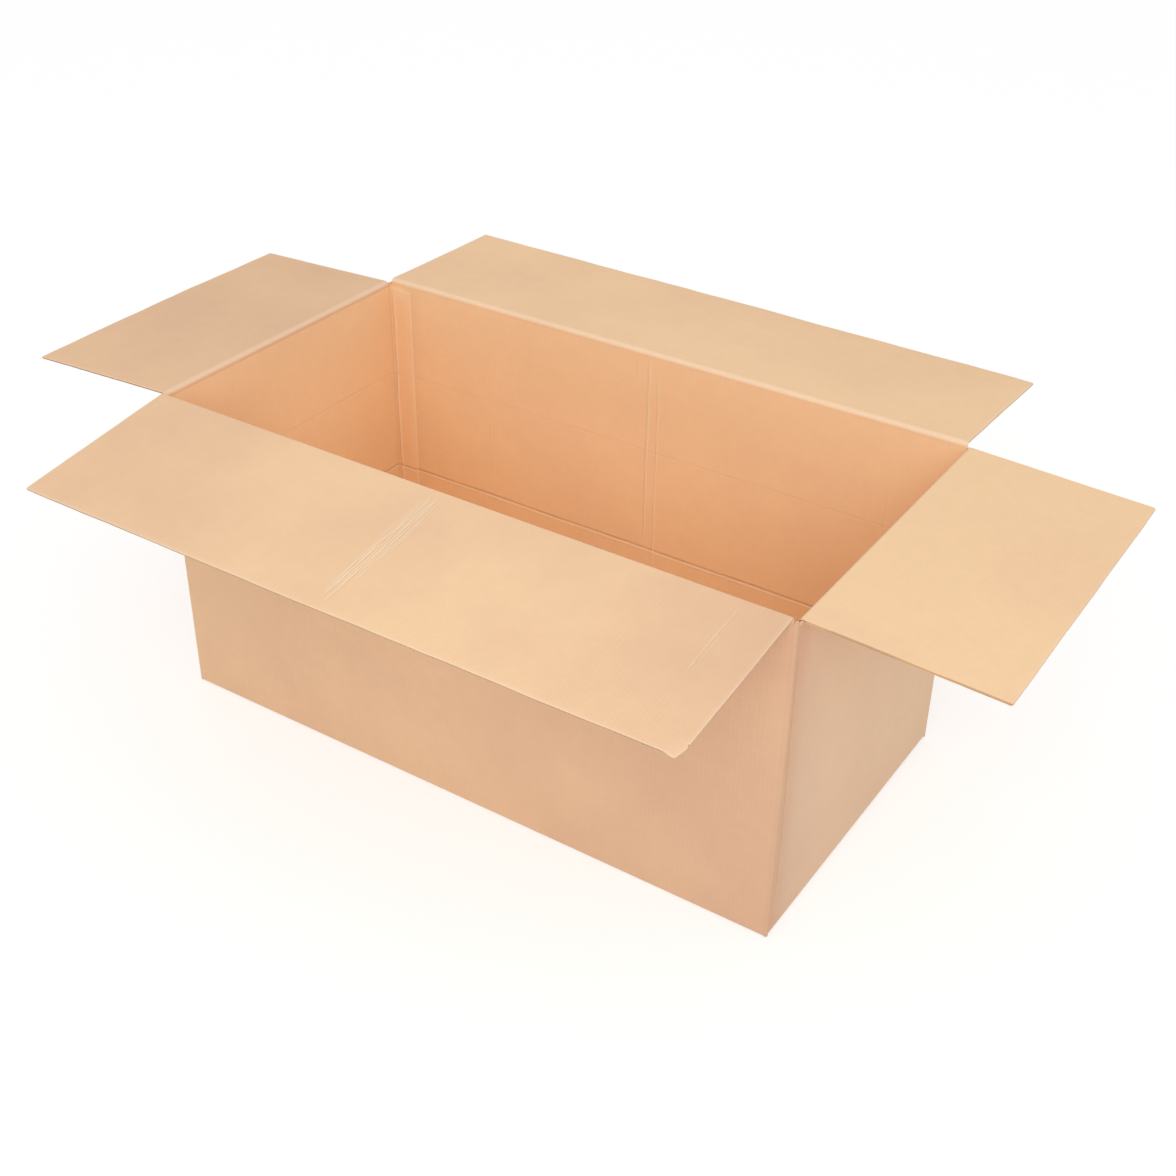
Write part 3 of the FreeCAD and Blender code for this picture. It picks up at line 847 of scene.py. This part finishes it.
def kraft_finish(name, warm, pink, rubbed_and_lit, strength):
    """Kraft paper: matt, with drifting colour, painted shade, fibres across the flutes and the flutes
    under it.

    Its colours are the yellower paper, the pinker paper that also paints shade, and the pale of
    worn paper that also paints highlights; strength is how plainly its fibres show.
    """
    finish, tree = new_finish(name)
    chart = add_node(tree, "ShaderNodeUVMap", {"uv_map": "blank"}).outputs["UV"]
    place = add_node(tree, "ShaderNodeMapping", {"Scale": (1 / MM, 1 / MM, 1 / MM)},
                     {"Vector": chart}).outputs[0]

    # Tone drifts over hands' breadths, between a yellower and a pinker brown
    drift = add_node(tree, "ShaderNodeTexNoise",
                     {"Scale": 1 / TONE_PATCH, "Detail": 2.0, "Roughness": 0.5},
                     {"Vector": place}).outputs["Fac"]
    drift = add_node(tree, "ShaderNodeMapRange",
                     {"From Min": 0.35, "From Max": 0.65, "To Min": -0.12, "To Max": 0.14},
                     {"Value": drift})
    # The painted attribute moves the colour further to the pinker, darker brown: pinker paper and
    # painted shade
    tone_and_shade_leaning = add_node(tree, "ShaderNodeAttribute", {"attribute_name": "tone_and_shade"}).outputs["Fac"]
    tone_and_shade = add_node(tree, "ShaderNodeMath", {"operation": "ADD", "use_clamp": True},
                    {0: drift.outputs[0], 1: tone_and_shade_leaning})
    cloud = add_node(tree, "ShaderNodeMix", {"data_type": "RGBA", 6: linear(warm), 7: linear(pink)},
                     {0: tone_and_shade.outputs[0]})

    # Fibres lie across the flutes, a few millimetres wide because the real ones are too fine to show
    stretched = add_node(tree, "ShaderNodeMapping",
                         {"Scale": (1 / FIBRE_LENGTH, 1 / FIBRE_WIDTH, 1)}, {"Vector": place})
    fibre = add_node(tree, "ShaderNodeTexNoise", {"Scale": 1.0, "Detail": 3.0, "Roughness": 0.6},
                     {"Vector": stretched.outputs[0]}).outputs["Fac"]
    mottle = add_node(tree, "ShaderNodeTexNoise",
                      {"Scale": 1 / MOTTLE_SIZE, "Detail": 4.0, "Roughness": 0.6},
                      {"Vector": place}).outputs["Fac"]

    # Flutes under the liner, one to each pitch across the blank
    split = add_node(tree, "ShaderNodeSeparateXYZ", {}, {0: place})
    turns = add_node(tree, "ShaderNodeMath", {"operation": "MULTIPLY", 1: 2 * math.pi / FLUTE_PITCH},
                     {0: split.outputs["X"]})
    flute = add_node(tree, "ShaderNodeMath", {"operation": "SINE"}, {0: turns.outputs[0]}).outputs[0]

    # Fibres and mottling darken and lighten the paper a little, and the flutes add a painted shade of
    # the washboard, one after another
    contrast = FIBRE_CONTRAST * strength
    shade_fibre = add_node(tree, "ShaderNodeMapRange",
                           {"From Min": 0.25, "From Max": 0.75,
                            "To Min": 1 - contrast, "To Max": 1 + contrast}, {"Value": fibre})
    shade_mottle = add_node(tree, "ShaderNodeMapRange",
                            {"From Min": 0.3, "From Max": 0.7, "To Min": 0.985, "To Max": 1.015},
                            {"Value": mottle})
    shade_flute = add_node(tree, "ShaderNodeMapRange",
                           {"From Min": -1.0, "From Max": 1.0, "To Min": 0.993, "To Max": 1.006},
                           {"Value": flute})
    shade = add_node(tree, "ShaderNodeMath", {"operation": "MULTIPLY"},
                     {0: shade_fibre.outputs[0], 1: shade_mottle.outputs[0]})
    shade = add_node(tree, "ShaderNodeMath", {"operation": "MULTIPLY"},
                     {0: shade.outputs[0], 1: shade_flute.outputs[0]})
    toned = add_node(tree, "ShaderNodeVectorMath", {"operation": "SCALE"},
                     {0: cloud.outputs[2], "Scale": shade.outputs[0]})

    # Above zero the paper is worn paler and painted with highlights, as on folds and cut edges, and
    # below zero it is painted with shade, darker
    wear_light_and_shade = add_node(tree, "ShaderNodeAttribute", {"attribute_name": "wear_light_and_shade"}).outputs["Fac"]
    dark = add_node(tree, "ShaderNodeMapRange", {"From Min": -1.0, "From Max": 0.0, "To Min": 0.7},
                    {"Value": wear_light_and_shade})
    toned = add_node(tree, "ShaderNodeVectorMath", {"operation": "SCALE"},
                     {0: toned.outputs[0], "Scale": dark.outputs[0]})
    rub_and_painted_light = add_node(tree, "ShaderNodeMapRange", {"To Max": 0.6}, {"Value": wear_light_and_shade})
    colour = add_node(tree, "ShaderNodeMix", {"data_type": "RGBA", 7: linear(rubbed_and_lit)},
                      {0: rub_and_painted_light.outputs[0], 6: toned.outputs[0]})

    # Relief: the fibres and the washboard, less than a tenth of a millimetre proud
    relief = add_node(tree, "ShaderNodeMath", {"operation": "MULTIPLY", 1: 0.3}, {0: flute})
    relief = add_node(tree, "ShaderNodeMath", {"operation": "ADD"}, {0: relief.outputs[0], 1: fibre})
    bump = add_node(tree, "ShaderNodeBump", {"Strength": 0.35, "Distance": 0.2 * MM},
                    {"Height": relief.outputs[0]})
    shader = add_node(tree, "ShaderNodeBsdfPrincipled",
                      {"Roughness": 0.82, "IOR": 1.45, "Specular IOR Level": 0.3},
                      {"Base Color": colour.outputs[2], "Normal": bump.outputs[0]})
    add_node(tree, "ShaderNodeOutputMaterial", {}, {"Surface": shader.outputs[0]})
    return finish


LINER_PAPER = kraft_finish("kraft_liner_paper", "FDD6AA", "E6BB9A", "FFEFDA", 1.0)
FLUTING_PAPER = kraft_finish("recycled_fluting_paper", "E2B88C", "D6AC86", "E8C49C", 1.6)


# Floor, light and camera

# The floor lies this far under the carton, so that the two never share a plane
FLOOR_GAP = 0.2

def seen_by_camera(tree):
    """1 for rays that show the backdrop, straight or through gloss and glass, and 0 for light."""
    path = add_node(tree, "ShaderNodeLightPath")
    seen = add_node(tree, "ShaderNodeMath", {"operation": "MAXIMUM"},
                    {0: path.outputs["Is Camera Ray"], 1: path.outputs["Is Glossy Ray"]})
    seen = add_node(tree, "ShaderNodeMath", {"operation": "MAXIMUM"},
                    {0: seen.outputs[0], 1: path.outputs["Is Transmission Ray"]})
    return seen.outputs[0]


def build_floor():
    """A pale floor that takes the soft shadow, and that the camera sees nearly white."""
    bpy.ops.object.select_all(action="DESELECT")
    bpy.ops.mesh.primitive_plane_add(size=60)
    floor = bpy.context.object
    floor.name = "studio_floor"
    finish, tree = new_finish("white_paper_backdrop")
    lit = add_node(tree, "ShaderNodeBsdfDiffuse", {"Color": linear("E8E8E8")})
    pale = add_node(tree, "ShaderNodeBsdfDiffuse", {"Color": (1.3, 1.3, 1.3, 1)})
    white = add_node(tree, "ShaderNodeEmission", {"Color": (1, 1, 1, 1), "Strength": 1.0})
    backdrop = add_node(tree, "ShaderNodeMixShader", {0: 0.55},
                        {1: pale.outputs[0], 2: white.outputs[0]})
    shader = add_node(tree, "ShaderNodeMixShader", {},
                      {0: seen_by_camera(tree), 1: lit.outputs[0], 2: backdrop.outputs[0]})
    add_node(tree, "ShaderNodeOutputMaterial", {}, {"Surface": shader.outputs[0]})
    floor.data.materials.append(finish)
    floor.location.z = -FLOOR_GAP * MM
    return floor


def add_softbox(name, place, aim, size, power):
    """A softbox of this width and height that faces a point."""
    lamp = bpy.data.lights.new(name, "AREA")
    lamp.shape = "RECTANGLE"
    lamp.size, lamp.size_y = size
    lamp.energy = power
    holder = bpy.data.objects.new(name, lamp)
    bpy.context.scene.collection.objects.link(holder)
    holder.location = place
    holder.rotation_euler = (Vector(place) - Vector(aim)).to_track_quat("Z", "Y").to_euler()
    holder.visible_camera = False


def light_studio():
    """White surroundings, a large softbox at the near right and a weak fill in the carton's mouth."""
    world = bpy.data.worlds.new("white_studio")
    bpy.context.scene.world = world
    world.use_nodes = True
    tree = world.node_tree
    tree.nodes.clear()
    soft = add_node(tree, "ShaderNodeBackground", {"Color": (1, 1, 1, 1), "Strength": 0.745})
    white = add_node(tree, "ShaderNodeBackground", {"Color": (1, 1, 1, 1), "Strength": 1.0})
    mixed = add_node(tree, "ShaderNodeMixShader", {},
                     {0: seen_by_camera(tree), 1: soft.outputs[0], 2: white.outputs[0]})
    add_node(tree, "ShaderNodeOutputWorld", {}, {"Surface": mixed.outputs[0]})

    add_softbox("key_softbox", (1.6, -2.8, 2.4), (0, 0, 0.45), (2.0, 2.0), 37)
    add_softbox("inside_fill", (-0.18, 0, 0.5), (-0.18, 0, 0), (0.6, 0.14), 0.18)


def set_camera():
    """The photograph's view, solved from the carton's corners."""
    azimuth, elevation, roll = math.radians(32.756), math.radians(33.042), math.radians(0.959)
    focal_pixels, photo_pixels = 1641.4, 1176
    back = Vector((math.sin(azimuth) * math.cos(elevation),
                   -math.cos(azimuth) * math.cos(elevation), math.sin(elevation)))
    level = Vector((0, 0, 1)).cross(back).normalized()
    upright = back.cross(level)
    right = math.cos(roll) * level + math.sin(roll) * upright
    up = -math.sin(roll) * level + math.cos(roll) * upright
    data = bpy.data.cameras.new("photo_view")
    data.lens = focal_pixels / photo_pixels * data.sensor_width
    data.clip_end = 200
    camera = bpy.data.objects.new("photo_view", data)
    camera.matrix_world = Matrix((right, up, back)).transposed().to_4x4()
    camera.location = (1.36199, -2.01507, 1.84603)
    bpy.context.scene.collection.objects.link(camera)
    bpy.context.scene.camera = camera


bpy.context.scene.view_settings.view_transform = "Standard"
build_floor()
light_studio()
set_camera()

walls = build_walls()
walls.data.materials.append(LINER_PAPER)
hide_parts("carton_body")
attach(walls, "carton")
for flap in FLAPS:
    build_flap(flap)
